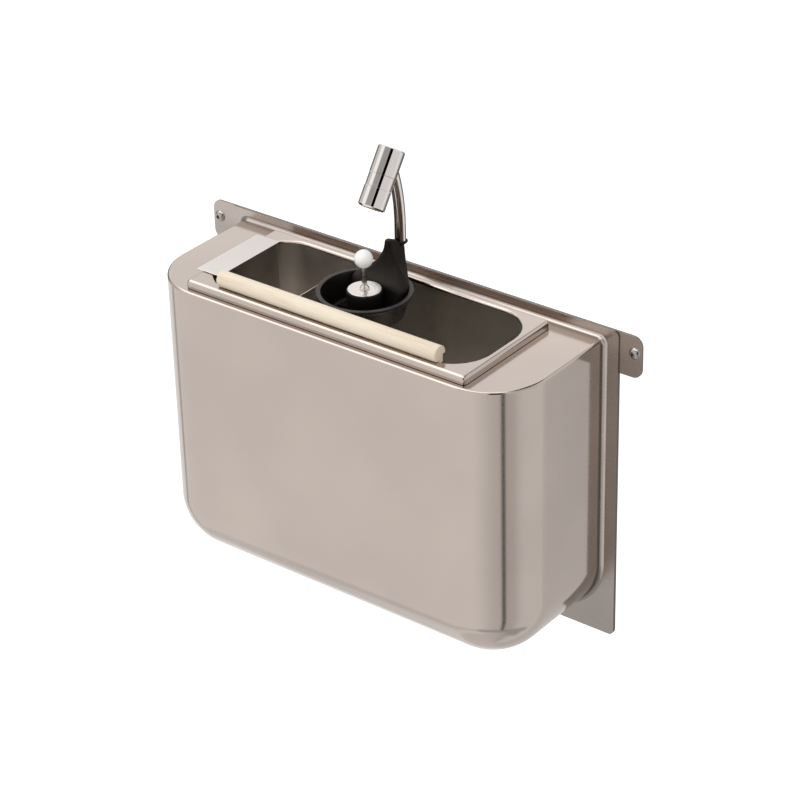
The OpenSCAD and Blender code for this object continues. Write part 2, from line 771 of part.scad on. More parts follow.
module return_spring() {
    foot = cartridge_top + seat_gap + spring_wire / 2;
    top = disc_bottom - seat_gap - spring_wire / 2;
    count = spring_turns * spring_steps;
    points = [for (i = [0:count]) each spring_ring(i / spring_steps, spring_d / 2, spring_wire,
        foot + (top - foot) * i / count)];
    sides = [for (i = [0:count - 1], k = [0:spring_sides - 1]) let (n = (k + 1) % spring_sides)
        [i * spring_sides + k, (i + 1) * spring_sides + k, (i + 1) * spring_sides + n, i * spring_sides + n]];
    ends = [[for (k = [0:spring_sides - 1]) k], [for (k = [spring_sides - 1:-1:0]) count * spring_sides + k]];
    color(bright) translate([0, pan_y, 0]) polyhedron(points, concat(sides, ends));
}

module water_column() {
    color(steel) translate([0, pan_y, 0]) difference() {
        union() {
            translate([0, 0, pan_floor + seat_gap])
                cylinder(d = column_d, h = column_top - pan_floor - seat_gap);
            translate([0, 0, pan_floor + seat_gap]) cylinder(r = foot_r, h = foot_h);
            translate([0, 0, under_pan - inlet_l]) cylinder(d = inlet_d, h = inlet_l);
            translate([0, 0, under_pan - thread_l]) cylinder(r = thread_r, h = thread_l + 2 * pan_sheet);
        }
        translate([0, 0, pan_floor + seat_gap + foot_h])
            cylinder(d = column_d - 2 * column_t, h = column_top - pan_floor);
        translate([0, 0, under_pan - inlet_l - over])
            cylinder(d = column_bore, h = inlet_l + foot_h + 3 * over);
    }
}

module column_gasket() {
    color(rubber) translate([0, pan_y, under_pan - gasket_t - seat_gap])
        pipe(foot_r, thread_r + seat_gap, gasket_t);
}

module column_nut() {
    color(brass) translate([0, pan_y, under_pan - gasket_t - nut_h - 2 * seat_gap])
        hex_nut(2 * (foot_r - nut_in), thread_r + running_gap, nut_h);
}

module spout_pivot() {
    color(brass) translate([0, spout_y, 0]) difference() {
        union() {
            translate([0, 0, pivot_foot]) cylinder(r = pivot_r, h = tube_foot + pivot_grip - pivot_foot);
            translate([0, 0, tube_foot]) cylinder(r = tube_r - tube_t - running_gap, h = pivot_grip);
        }
        translate([0, 0, pivot_foot - over]) cylinder(r = pivot_r * 0.6, h = tower_h + pivot_grip + 2 * over);
    }
}

module spout_clip() {
    color(brass) translate([0, spout_y, pivot_foot]) pipe(pivot_r + clip_t, pivot_r + running_gap, clip_h);
}

module spout_seal() {
    color(rubber) translate([0, spout_y, pivot_foot + clip_h + seat_gap + pivot_seal_wire / 2])
        ring_seal(pivot_r + running_gap + pivot_seal_wire / 2, pivot_seal_wire);
}

module spout_tube() {
    bore_r = tube_r - tube_t;
    color(bright) {
        translate([0, spout_y, tube_foot]) pipe(tube_r, bore_r, bend_start - tube_foot);
        translate([0, spout_y - tube_bend_r, bend_start]) rotate([90, 0, 90])
            rotate_extrude(angle = tube_bend + tube_bite / tube_bend_r * 180 / PI) translate([tube_bend_r, 0])
                difference() {
                    circle(tube_r);
                    circle(bore_r);
                }
    }
}

// Places its children in the head's own frame, with +Z up the head's axis
module in_head() {
    translate([0, head_y, head_z]) rotate([-head_lean, 0, 0]) children();
}

module head_body() {
    bevel = 1;
    color(bright) difference() {
        in_head() rotate_extrude($fn = 96) polygon([[0, body_foot], [head_r, body_foot],
            [head_r, head_l / 2 - bevel], [head_r - bevel, head_l / 2], [0, head_l / 2]]);
        in_head() translate([0, 0, body_foot - over])
            cylinder(r = spigot_r + running_gap, h = spigot_h + over);
        in_head() translate([0, 0, body_foot]) cylinder(d = stem_d, h = head_body_l * 0.7);
        translate([0, tube_end_y, tube_end_z]) rotate([tube_bend, 0, 0]) translate([0, 0, -head_d])
            cylinder(r = tube_r + running_gap, h = head_d + tube_bite + seat_gap);
        translate([0, tube_end_y, tube_end_z]) rotate([tube_bend, 0, 0])
            cylinder(d = stem_d, h = head_d * 0.6);
    }
}

module head_core() {
    color(brass) in_head() difference() {
        union() {
            translate([0, 0, body_foot - seat_gap]) cylinder(r = spigot_r, h = spigot_h);
            translate([0, 0, core_bottom]) cylinder(r = core_r, h = body_foot - seat_gap - core_bottom);
        }
        translate([0, 0, core_bottom - over]) cylinder(d = stem_d, h = head_l);
    }
}

module flow_ring() {
    grooves = 2;
    groove_d = 0.5;
    color(bright) in_head() difference() {
        translate([0, 0, ring_foot + seat_gap])
            pipe(head_r - seat_gap, core_r + running_gap, flow_ring_l - 2 * seat_gap);
        for (i = [1:grooves]) translate([0, 0, ring_foot + i * seat_gap * 4])
            pipe(head_r + over, head_r - seat_gap - groove_d, seat_gap);
    }
}

module core_seal() {
    wire = 1.2;
    color(rubber) in_head() translate([0, 0, core_bottom - seat_gap - wire / 2])
        ring_seal(core_r - wire, wire);
}

module nozzle_housing() {
    bevel = 1.4;
    color(bright) in_head() difference() {
        rotate_extrude($fn = 96) polygon([[0, ring_foot], [head_r, ring_foot], [head_r, nozzle_foot + bevel],
            [head_r - bevel, nozzle_foot], [0, nozzle_foot]]);
        translate([0, 0, core_bottom]) cylinder(r = core_r + running_gap, h = nozzle_l);
        translate([0, 0, nozzle_foot - over])
            cylinder(r = mouth_r, h = core_bottom - nozzle_foot + over + seat_gap);
    }
}

module spray_plate() {
    rings = [6, 12];
    color(dark_steel) in_head() translate([0, 0, nozzle_foot + spray_recess]) difference() {
        cylinder(r = mouth_r - running_gap, h = spray_t);
        for (k = [0, 1], i = [0:rings[k] - 1]) rotate(i * 360 / rings[k])
            translate([mouth_r * (k + 1) / 3, 0, -over])
                cylinder(d = spray_hole_d, h = spray_t + 2 * over, $fn = 16);
    }
}

module drain_body() {
    color(steel) translate([drain_x, pan_y, 0]) difference() {
        union() {
            translate([0, 0, pan_floor + seat_gap]) cylinder(d = drain_flange_d, h = drain_lip_h);
            translate([0, 0, under_pan - drain_neck_l])
                cylinder(d = drain_d, h = drain_neck_l + 2 * pan_sheet);
        }
        translate([0, 0, under_pan - drain_l]) cylinder(d = drain_d - 4 * drain_t, h = 2 * drain_l);
        translate([0, 0, pan_floor + seat_gap - strainer_t]) cylinder(r = strainer_r + seat_gap, h = drain_l);
    }
}

module drain_strainer() {
    knob_r = 4;
    knob_h = 8;
    rings = [0.4, 0.72];
    color(bright) translate([drain_x, pan_y, pan_floor + seat_gap - strainer_t + seat_gap]) {
        difference() {
            cylinder(r = strainer_r, h = strainer_t);
            for (k = rings, i = [0:strainer_holes - 1]) rotate((i + k) * 360 / strainer_holes)
                translate([k * strainer_r, 0, -over])
                    cylinder(r = strainer_r / 11, h = strainer_t + 2 * over, $fn = 24);
        }
        cylinder(r = knob_r, h = knob_h);
    }
}

module drain_gasket() {
    color(rubber) translate([drain_x, pan_y, under_pan - gasket_t - seat_gap])
        pipe(drain_flange_d / 2, drain_d / 2 + seat_gap, gasket_t);
}

module drain_nut() {
    color(steel) translate([drain_x, pan_y, under_pan - gasket_t - nut_h - 2 * seat_gap])
        hex_nut(drain_flange_d - 2 * nut_in, drain_d / 2 + running_gap, nut_h);
}

module drain_tail() {
    neck_foot = drain_l - drain_neck_l - seat_gap;
    socket_r = drain_d / 2 + running_gap;
    bore_r = drain_tail_d / 2 - drain_t;
    color(steel) translate([drain_x, pan_y, under_pan - drain_l]) rotate_extrude()
        polygon([[bore_r, 0], [bore_r + drain_t, 0], [bore_r + drain_t, neck_foot - drain_t],
            [socket_r + drain_t, neck_foot - drain_t], [socket_r + drain_t, neck_foot + drain_socket],
            [socket_r, neck_foot + drain_socket], [socket_r, neck_foot], [bore_r, neck_foot]]);
}

casing_shell();
deck_plate();
wall_flange();
mounting_rail();
wall_screws();
pan();
scoop_tray();
tapping_bar();
rinse_bowl();
tower_collar();
turret();
press_disc();
press_post();
ball_knob();
valve_cartridge();
valve_stem();
poppet_washer();
stem_seal();
return_spring();
water_column();
column_gasket();
column_nut();
spout_pivot();
spout_clip();
spout_seal();
spout_tube();
head_body();
head_core();
flow_ring();
core_seal();
nozzle_housing();
spray_plate();
drain_body();
drain_strainer();
drain_gasket();
drain_nut();
drain_tail();
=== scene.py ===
from math import atan2, cos, degrees, hypot, inf, pi, radians, sin

import bmesh
import bpy
from mathutils import Matrix, Vector


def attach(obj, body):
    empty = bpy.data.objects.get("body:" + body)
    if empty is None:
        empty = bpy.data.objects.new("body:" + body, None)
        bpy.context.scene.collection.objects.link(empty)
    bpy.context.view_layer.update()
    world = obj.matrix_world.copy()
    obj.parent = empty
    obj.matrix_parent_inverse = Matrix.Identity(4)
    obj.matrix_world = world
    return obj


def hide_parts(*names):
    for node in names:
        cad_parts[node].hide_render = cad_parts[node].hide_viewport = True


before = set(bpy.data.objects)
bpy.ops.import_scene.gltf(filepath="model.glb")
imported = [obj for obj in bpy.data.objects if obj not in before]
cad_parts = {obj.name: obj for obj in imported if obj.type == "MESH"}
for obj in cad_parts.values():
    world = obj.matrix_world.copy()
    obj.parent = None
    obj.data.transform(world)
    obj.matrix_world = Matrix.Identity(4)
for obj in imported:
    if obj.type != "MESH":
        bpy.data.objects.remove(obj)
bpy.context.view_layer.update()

# Sizes and places of the object are in millimetres, in the frame's own axes, and MM turns them into metres
MM = 0.001
SHEET = 1.0
CASING = {"half": 213.0, "front": -153.5, "bottom": -295.0, "r": 60.0, "sheet": 1.2}
FLANGE_FRONT = -3.5
ROOT_R = 4.5
ROOT_TOP_R = 6.0
DECK_TOP = 6.5
DECK_EDGE_R = 3.0

# The middle of each pipe hole along X and its radius, and how far its cutter reaches past the casing's bottom
PIPE_HOLES = ((0.0, 26.0), (95.0, 36.0))
CUT_BELOW = 9.0
CUT_ABOVE = 30.0

# Round rectangles of the deck's opening and the pan: length, width and corner radius
DECK_HOLE = (315.0, 120.0, 42.5)
PAN_RIM = (325.0, 132.0, 4.5)
PAN_MOUTH = (310.0, 115.0, 40.0)
PAN_WALL = (300.0, 106.0, 36.0)
PAN_Y = -81.0
RIM_TOP = 15.3
RIM_SKIRT = 8.3
RIM_R = 4.4
MOUTH_R = 3.0
PAN_FLOOR = -134.7
FLOOR_R = 12.0
FLOOR_HOLES = ((0.0, 10.7), (95.0, 22.3))

# The bowl's section as radius and height, from its bore down round the socket and the outside to the inside
BOWL_RIM = 25.0
BOWL_FLOOR = 1.0
BOWL_BORE_R = 10.1
BOWL_PROFILE = (
    (BOWL_BORE_R, BOWL_FLOOR), (BOWL_BORE_R, -6.4), (15.1, -6.4), (15.1, -16.0), (17.5, -16.0), (17.5, -2.4),
    (18.4, -1.5), (31.5, -1.5), (34.0, -0.9), (35.6, 0.8), (42.6, 19.4), (43.6, 21.6), (44.6, 22.5),
    (45.2, 22.8), (45.5, 23.4), (45.5, 24.3), (45.2, 24.8), (44.7, BOWL_RIM), (41.6, BOWL_RIM), (41.0, 24.8),
    (40.6, 24.3), (40.3, 22.5), (35.0, 4.6), (34.0, 2.6), (32.4, 1.4), (30.4, BOWL_FLOOR),
    (BOWL_BORE_R, BOWL_FLOOR),
)

# The bowl's drain slots stand like rays round its axis, spread over this many degrees away from the tower
SLOTS = 9
SLOT_SPREAD = 222.0
SLOT_FROM_AXIS = 25.5
SLOT_LENGTH = 11.0
SLOT_WIDTH = 3.0
SLOT_CUT = 4.0

# The tower's sections: height, then the distance of its front disc from the bowl's axis, that disc's radius,
# the angle that it is spread to each side, and the radius and distance of the disc at its back
SPOUT_Y = -26.0
SEAT_Z = 51.0
TOWER_TOP = 61.0
TOWER = (
    (BOWL_FLOOR, (26.2, 7.8, 46.0, 5.3, 40.0)),
    (14.0, (32.0, 7.8, 46.0, 5.3, 40.0)),
    (21.0, (33.9, 7.8, 45.0, 5.3, 48.0)),
    (BOWL_RIM, (34.2, 7.6, 41.0, 5.3, 55.0)),
    (30.0, (35.5, 6.5, 27.0, 4.9, 55.0)),
    (38.0, (36.6, 5.1, 12.0, 4.25, 55.0)),
    (48.0, (37.4, 4.25, 3.7, 3.6, 55.0)),
    (SEAT_Z, (37.5, 4.1, 2.0, 3.5, 54.0)),
    (56.0, (37.5, 3.8, 0.5, 3.4, 46.0)),
    (60.0, (37.4, 3.5, 0.0, 3.0, 39.0)),
    (TOWER_TOP, (37.4, 2.6, 0.0, 2.2, 37.6)),
)
TOWER_FOOT_LEVELS = (BOWL_FLOOR, 6.0, 11.0, 16.0, 19.0, 21.0, 23.0)
TOWER_BRIM = 0.4

# Up to this height the tower stays inside the bowl's wall, whose radius grows by the flare up to the rim
WALL_TOP = 22.0
WALL_FOOT_R = 34.0
WALL_FLARE = 7.0

# Bores in the tower, for the turret, the water and the collar: lowest and highest level, and radius
TURRET_BORE = (-5.0, 40.0, 17.3)
WATER_BORE = (25.5, 60.0, 2.3)
COLLAR_BORE = (SEAT_Z, 70.0, 7.3)

# Width of the small round that each CAD node's sharp edges get
EDGE_WIDTHS = {
    "wall_flange": 0.5, "mounting_rail": 0.5, "scoop_tray": 0.35, "tapping_bar": 0.6, "turret": 0.4,
    "press_disc": 0.3, "drain_strainer": 0.2, "drain_nut": 0.5, "column_nut": 0.5, "wall_screws": 0.3,
}

# Sizes and places of the studio are in metres
MIDDLE = (0, -0.08, 0)
TENT_R = 20.0
FLOOR_HALF = 9.0
FLOOR_Z = -0.95
FLOOR_LIFT = 0.45
WORLD_LIGHT = 0.65
LAMPS = (("key", (-1.2, -1.0, 2.2), 1.6, 30), ("fill", (1.6, -1.6, 1.2), 1.6, 7))
CAMERA_PLACE = (1.43024, -1.84335, 1.20857)
CAMERA_ANGLES = (38.306, 29.833, -1.491)
SENSOR_WIDTH = 36
LENS = 125.154
CLIP_RANGE = (0.05, 60)

# Cards in the studio: direction, half width and soft edge in degrees round, lowest and highest angle with its
# soft edge, and how light the card is
CARDS = (
    (0, 180, 1, -90, -66, 6, 0.78),
    (105, 45, 30, -85, 30, 12, 0.84),
    (172, 30, 14, -85, -10, 10, 0.71),
    (50, 0, 55, -85, 5, 10, 0.70),
    (66, 0, 24, -85, 5, 10, 0.62),
    (180, 26, 10, -31, 6, 4, 0.16),
    (-84, 16, 10, -5, 18, 8, 0.65),
    (-112, 10, 16, -16, 6, 8, 0.18),
    (86, 24, 8, -18, 36, 8, 0.74),
    (4, 28, 18, 37, 44, 5, 0.36),
    (-10, 72, 12, 53, 66, 5, 2.2),
    (-72, 30, 12, 41, 62, 4, 2.2),
    (125, 42, 10, 44, 62, 8, 0.1),
    (44, 11, 3, -4, 44, 6, 0.0),
    (55.5, 1.5, 4, -54, -8, 4, 0.14),
    (-92, 2, 3, -50, -10, 5, 0.5),
    (-64, 60, 20, -57, -55, 3, 0.78),
    (60, 50, 15, -57, -55, 3, 0.42),
    (88, 16, 8, -66, -57, 3, 0.5),
)


# Outlines and rings

def arc(cx, cy, r, start, end, steps, flip=1):
    """Places on an arc, each with the direction that its surface faces: outward, or inward with flip -1."""
    out = []
    for i in range(steps + 1):
        a = radians(start + (end - start) * i / steps)
        out.append((cx + r * cos(a), cy + r * sin(a), flip * cos(a), flip * sin(a)))
    return out


def round_rect(length, width, r, y, steps=10):
    """The outline of a rectangle with round corners, counter-clockwise, with its middle at nought and y."""
    out = []
    for k, (sx, sy) in enumerate(((1, 1), (-1, 1), (-1, -1), (1, -1))):
        out += arc(sx * (length / 2 - r), y + sy * (width / 2 - r), r, 90 * k, 90 * k + 90, steps)
    return out


def round_bottom(half, low, r, steps):
    """The two lower round corners of an outline, from its left side round to its right."""
    return arc(r - half, low + r, r, 180, 270, steps) + arc(half - r, low + r, r, 270, 360, steps)


def ring_points(cx, cy, r, steps=48):
    """Points of a circle."""
    return [(cx + r * cos(2 * pi * i / steps), cy + r * sin(2 * pi * i / steps)) for i in range(steps)]


def sweep(outline, section):
    """Rings of (point, normal): a section of (offset, height, out, up), taken round a level outline."""
    return [[((x + off * nx, y + off * ny, z), (out * nx, out * ny, up)) for x, y, nx, ny in outline]
            for off, z, out, up in section]


def sweep_deep(outline, section):
    """The same for an outline that stands in X and Z, whose section gives depths along Y, not heights."""
    return [[((x, y, z), (nx, ny, nz)) for (x, z, y), (nx, nz, ny) in ring]
            for ring in sweep(outline, section)]


def thicken(rings, t):
    """Rings that come back behind the first ones, t below the surface."""
    return rings + [[(tuple(c - t * d for c, d in zip(p, n)), tuple(-d for d in n)) for p, n in ring]
                    for ring in reversed(rings)]


# Meshes

def bands(count, levels, closed=True):
    """Faces between rings of count points each."""
    faces = []
    for j in range(levels - 1):
        for i in range(count if closed else count - 1):
            a, b = j * count + i, j * count + (i + 1) % count
            faces.append((a, b, b + count, a + count))
    return faces


def filled(outer, holes, z):
    """Triangles of a flat plate at height z, between an outer loop and round holes."""
    work = bmesh.new()
    edges = []
    for loop in [outer] + holes:
        verts = [work.verts.new((x, y, z)) for x, y in loop]
        edges += [work.edges.new((a, b)) for a, b in zip(verts, verts[1:] + verts[:1])]
    bmesh.ops.triangle_fill(work, edges=edges, use_beauty=True)
    work.verts.index_update()
    points = [tuple(v.co) for v in work.verts]
    faces = [tuple(v.index for v in f.verts) for f in work.faces]
    work.free()
    return points, faces


def turned_out(faces, points, normals):
    """The faces, turned so that they agree with the normals."""
    out = []
    for face in faces:
        corners = [Vector(points[i]) for i in face]
        area = Vector((0, 0, 0))
        for a, b in zip(corners, corners[1:] + corners[:1]):
            area += a.cross(b)
        mean = sum((Vector(normals[i]) for i in face), Vector((0, 0, 0)))
        out.append(face if area.dot(mean) >= 0 else tuple(reversed(face)))
    return out


def shell(rings, t):
    """Points and faces of a sheet t thick behind rings that run from an open edge to a flat, filled front."""
    count, depth = len(rings[0]), len(rings)
    outer = [p for ring in rings for p, n in ring]
    inner = [tuple(c - t * d for c, d in zip(p, n)) for ring in rings for p, n in ring]
    points, back = outer + inner, len(outer)
    faces = []
    for j in range(depth - 1):
        for i in range(count - 1):
            a = j * count + i
            quad = (a, a + 1, a + 1 + count, a + count)
            faces += [quad, tuple(k + back for k in reversed(quad))]
        for a, b in ((j * count, (j + 1) * count), ((j + 1) * count - 1, (j + 2) * count - 1)):
            faces.append((a, b, b + back, a + back))
    for i in range(count - 1):
        faces.append((i, i + 1, i + 1 + back, i + back))
    front = list(range((depth - 1) * count, depth * count))
    faces += [tuple(front), tuple(k + back for k in reversed(front))]
    faces.append((front[0], front[-1], front[-1] + back, front[0] + back))
    return points, faces


def drum(cx, cy, low, high, r, steps=64):
    """Points and faces of an upright cylinder, for carve."""
    points = [(x, y, z) for z in (low, high) for x, y in ring_points(cx, cy, r, steps)]
    faces = [tuple(reversed(range(steps))), tuple(range(steps, 2 * steps))]
    return points, faces + bands(steps, 2)


def slab(centre, angle, length, width, low, high):
    """Points and faces of an upright block that points along an angle, for carve."""
    ax, ay = cos(angle), sin(angle)
    points = []
    for z in (low, high):
        for u, v in ((-1, -1), (1, -1), (1, 1), (-1, 1)):
            points.append((centre[0] + ax * u * length / 2 - ay * v * width / 2,
                           centre[1] + ay * u * length / 2 + ax * v * width / 2, z))
    return points, [(3, 2, 1, 0), (4, 5, 6, 7), (0, 1, 5, 4), (1, 2, 6, 5), (2, 3, 7, 6), (3, 0, 4, 7)]


def key(co):
    """A place rounded so that it can be looked up."""
    return tuple(round(c, 6) for c in co)


def finish_mesh(name, points, faces, material, body, nodes=(), normals=None, edge=None):
    """Makes one object from points in millimetres, with smooth shading, and attaches it to its body, hiding
    the CAD nodes that it stands for.
    """
    mesh = bpy.data.meshes.new(name)
    mesh.from_pydata([Vector(p) * MM for p in points], [], faces)
    work = bmesh.new()
    work.from_mesh(mesh)
    bmesh.ops.remove_doubles(work, verts=work.verts, dist=1e-6)
    bmesh.ops.dissolve_degenerate(work, edges=work.edges, dist=1e-7)
    if normals is None:
        bmesh.ops.recalc_face_normals(work, faces=work.faces)
    work.to_mesh(mesh)
    work.free()
    mesh.polygons.foreach_set("use_smooth", [True] * len(mesh.polygons))
    if normals is not None:
        known = {key(Vector(p) * MM): n for p, n in zip(points, normals)}
        mesh.normals_split_custom_set_from_vertices([known[key(v.co)] for v in mesh.vertices])
    elif edge is not None:
        mesh.set_sharp_from_angle(angle=radians(edge))
    mesh.materials.append(material)
    obj = bpy.data.objects.new(name, mesh)
    bpy.context.scene.collection.objects.link(obj)
    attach(obj, body)
    if nodes:
        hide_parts(*nodes)
    return obj


def made(name, rings, material, body, nodes=(), closed=True, plate=None):
    """Makes an object from rings and, if one is given, a flat plate of sheet (edge, holes, height)."""
    points = [p for ring in rings for p, n in ring]
    normals = [n for ring in rings for p, n in ring]
    faces = bands(len(rings[0]), len(rings), closed)
    if plate:
        edge, holes, top = plate
        for z, up in ((top, 1), (top - SHEET, -1)):
            more, more_faces = filled(edge, holes, z)
            start = len(points)
            points += more
            normals += [(0, 0, up)] * len(more)
            faces += [tuple(i + start for i in face) for face in more_faces]
    faces = turned_out(faces, points, normals)
    return finish_mesh(name, points, faces, material, body, nodes, normals)


def lathe(name, profile, centre, material, body, nodes=(), steps=96, edge=30):
    """Turns a profile of (radius, height) round an upright axis through centre."""
    points = []
    for r, h in profile:
        for i in range(steps):
            a = 2 * pi * i / steps
            points.append(tuple(Vector(centre) + Vector((r * cos(a), r * sin(a), h))))
    return finish_mesh(name, points, bands(steps, len(profile)), material, body, nodes, edge=edge)


def carve(obj, cutters, edge):
    """Cuts closed meshes, given as (points, faces) in millimetres, out of an object's mesh.

    Then edges over an angle are sharp, and large flat faces set the shading where they run into bends.
    """
    for points, faces in cutters:
        mesh = bpy.data.meshes.new("cutter")
        mesh.from_pydata([Vector(p) * MM for p in points], [], faces)
        cutter = bpy.data.objects.new("cutter", mesh)
        bpy.context.scene.collection.objects.link(cutter)
        cut = obj.modifiers.new("cut", "BOOLEAN")
        cut.object = cutter
        cut.solver = "EXACT"
        bpy.context.view_layer.update()
        seen = obj.evaluated_get(bpy.context.evaluated_depsgraph_get())
        result = bpy.data.meshes.new_from_object(seen)
        obj.modifiers.remove(cut)
        obj.data = result
        bpy.data.objects.remove(cutter)
    obj.data.set_sharp_from_angle(angle=radians(edge))
    weighted = obj.modifiers.new("weighted", "WEIGHTED_NORMAL")
    weighted.keep_sharp = True


# Shader nodes

def new_material(name, color, rough, metal=0.0, **sockets):
    """A new Principled material; returns it with its node tree and shader."""
    mat = bpy.data.materials.new(name)
    mat.use_nodes = True
    shader = mat.node_tree.nodes["Principled BSDF"]
    shader.inputs["Base Color"].default_value = (*color, 1)
    shader.inputs["Roughness"].default_value = rough
    shader.inputs["Metallic"].default_value = metal
    for label, value in sockets.items():
        shader.inputs[label.replace("_", " ")].default_value = value
    return mat, mat.node_tree, shader


def noise(tree, scale, stretch=(1, 1, 1), detail=3.0):
    """Noise in the object's own coordinates, stretched along its axes."""
    coord = tree.nodes.new("ShaderNodeTexCoord")
    mapping = tree.nodes.new("ShaderNodeMapping")
    mapping.inputs["Scale"].default_value = stretch
    tex = tree.nodes.new("ShaderNodeTexNoise")
    tex.inputs["Scale"].default_value = scale
    tex.inputs["Detail"].default_value = detail
    tree.links.new(coord.outputs["Object"], mapping.inputs["Vector"])
    tree.links.new(mapping.outputs["Vector"], tex.inputs["Vector"])
    return tex.outputs["Fac"]


def spread(tree, value, low, high, start=0.3, end=0.7):
    """Maps a value from start to end, which suit a noise, onto low to high."""
    node = tree.nodes.new("ShaderNodeMapRange")
    node.inputs["From Min"].default_value = start
    node.inputs["From Max"].default_value = end
    node.inputs["To Min"].default_value = low
    node.inputs["To Max"].default_value = high
    tree.links.new(value, node.inputs["Value"])
    return node.outputs["Result"]


def scaled(color, share):
    """A colour made lighter or darker by a share."""
    return tuple(min(1.0, c * share) for c in color)


def tint(tree, value, dark, light):
    """Mixes two colours by a value."""
    node = tree.nodes.new("ShaderNodeMix")
    node.data_type = "RGBA"
    node.inputs["A"].default_value = (*dark, 1)
    node.inputs["B"].default_value = (*light, 1)
    tree.links.new(value, node.inputs["Factor"])
    return node.outputs["Result"]


def stained(tree, tone, stain, factor):
    """A tone that is multiplied by a stain's colour where the factor is one."""
    mix = tree.nodes.new("ShaderNodeMix")
    mix.data_type = "RGBA"
    mix.blend_type = "MULTIPLY"
    mix.inputs["B"].default_value = (*stain, 1)
    tree.links.new(factor, mix.inputs["Factor"])
    tree.links.new(tone, mix.inputs["A"])
    return mix.outputs["Result"]


def bump(tree, shader, value, strength, distance):
    """Raises the surface by a value, up to a distance in metres."""
    node = tree.nodes.new("ShaderNodeBump")
    node.inputs["Strength"].default_value = strength
    node.inputs["Distance"].default_value = distance
    tree.links.new(value, node.inputs["Height"])
    tree.links.new(node.outputs["Normal"], shader.inputs["Normal"])


def ramp(tree, axis, low, high):
    """A value that runs from 0 to 1 between two places, in millimetres, along an axis of the object."""
    coord = tree.nodes.new("ShaderNodeTexCoord")
    split = tree.nodes.new("ShaderNodeSeparateXYZ")
    tree.links.new(coord.outputs["Object"], split.inputs["Vector"])
    return spread(tree, split.outputs[axis], 0, 1, low * MM, high * MM)


def cut_edges(tree):
    """One on the narrow cut edges of a sheet that stands across Y, and nought on its faces."""
    coord = tree.nodes.new("ShaderNodeTexCoord")
    parts = tree.nodes.new("ShaderNodeSeparateXYZ")
    size = tree.nodes.new("ShaderNodeMath")
    size.operation = "ABSOLUTE"
    tree.links.new(coord.outputs["Normal"], parts.inputs[0])
    tree.links.new(parts.outputs["Y"], size.inputs[0])
    return spread(tree, size.outputs["Value"], 1, 0, 0.3, 0.8)


def turned_away(tree, low, high):
    """Nought where a surface faces the eye, and one where it turns away."""
    weight = tree.nodes.new("ShaderNodeLayerWeight")
    weight.inputs["Blend"].default_value = 0.5
    return spread(tree, weight.outputs["Facing"], 0, 1, low, high)


def axis_distance(tree, x, y):
    """The distance, in metres, from an upright axis at x and y, in millimetres."""
    coord = tree.nodes.new("ShaderNodeTexCoord")
    shift = tree.nodes.new("ShaderNodeVectorMath")
    shift.inputs[1].default_value = (-x * MM, -y * MM, 0)
    flat = tree.nodes.new("ShaderNodeVectorMath")
    flat.operation = "MULTIPLY"
    flat.inputs[1].default_value = (1, 1, 0)
    length = tree.nodes.new("ShaderNodeVectorMath")
    length.operation = "LENGTH"
    tree.links.new(coord.outputs["Object"], shift.inputs[0])
    tree.links.new(shift.outputs[0], flat.inputs[0])
    tree.links.new(flat.outputs[0], length.inputs[0])
    return length.outputs["Value"]


# Kinds of material

def metal(name, color, rough, stretch, scale=60, vary=0.04, wear=0.05, grain=0.15, depth=0.00002, painted_fades=(),
          edges=1.0, away=None):
    """Ground or polished metal: fine streaks along one axis, and broad, faint changes of tone and gloss.

    Each fade (axis, from, to, share) scales the tone by a share from the first place to the second, painting
    light and shade into it. So does edges on a sheet's cut edges. So does away (low, high, share) where the
    surface turns away, painting shade there and leaving a painted highlight where it faces the eye.
    """
    mat, tree, shader = new_material(name, color, rough, 1.0)
    broad = spread(tree, noise(tree, 9, (1, 1, 1), 2), 0, 1)
    tone = tint(tree, broad, scaled(color, 1 - vary), scaled(color, 1 + vary))
    # Each fade paints light or shade into the tone, lighter or darker along one axis
    for axis, low, high, share in painted_fades:
        tone = stained(tree, tone, (share, share, share), ramp(tree, axis, low, high))
    if edges < 1:
        tone = stained(tree, tone, (edges, edges, edges), cut_edges(tree))
    # Painted shade where the surface turns away from the eye, and a painted highlight where it faces it
    if away:
        low, high, share = away
        tone = stained(tree, tone, (share, share, share), turned_away(tree, low, high))
    tree.links.new(tone, shader.inputs["Base Color"])
    streaks = noise(tree, scale, stretch, 4)
    tree.links.new(spread(tree, streaks, rough - wear, rough + wear), shader.inputs["Roughness"])
    bump(tree, shader, streaks, grain, depth)
    return mat


def turned(name, color, rough, x, y, scale):
    """Metal turned on a lathe, with fine rings round an upright axis at x and y."""
    mat, tree, shader = new_material(name, color, rough, 1.0)
    tex = tree.nodes.new("ShaderNodeTexNoise")
    tex.noise_dimensions = "1D"
    tex.inputs["Scale"].default_value = scale
    tree.links.new(axis_distance(tree, x, y), tex.inputs["W"])
    rings = tex.outputs["Fac"]
    tree.links.new(spread(tree, rings, rough - 0.05, rough + 0.05), shader.inputs["Roughness"])
    tone = tint(tree, spread(tree, rings, 0, 1), scaled(color, 0.94), scaled(color, 1.02))
    tree.links.new(tone, shader.inputs["Base Color"])
    bump(tree, shader, rings, 0.7, 0.00012)
    return mat


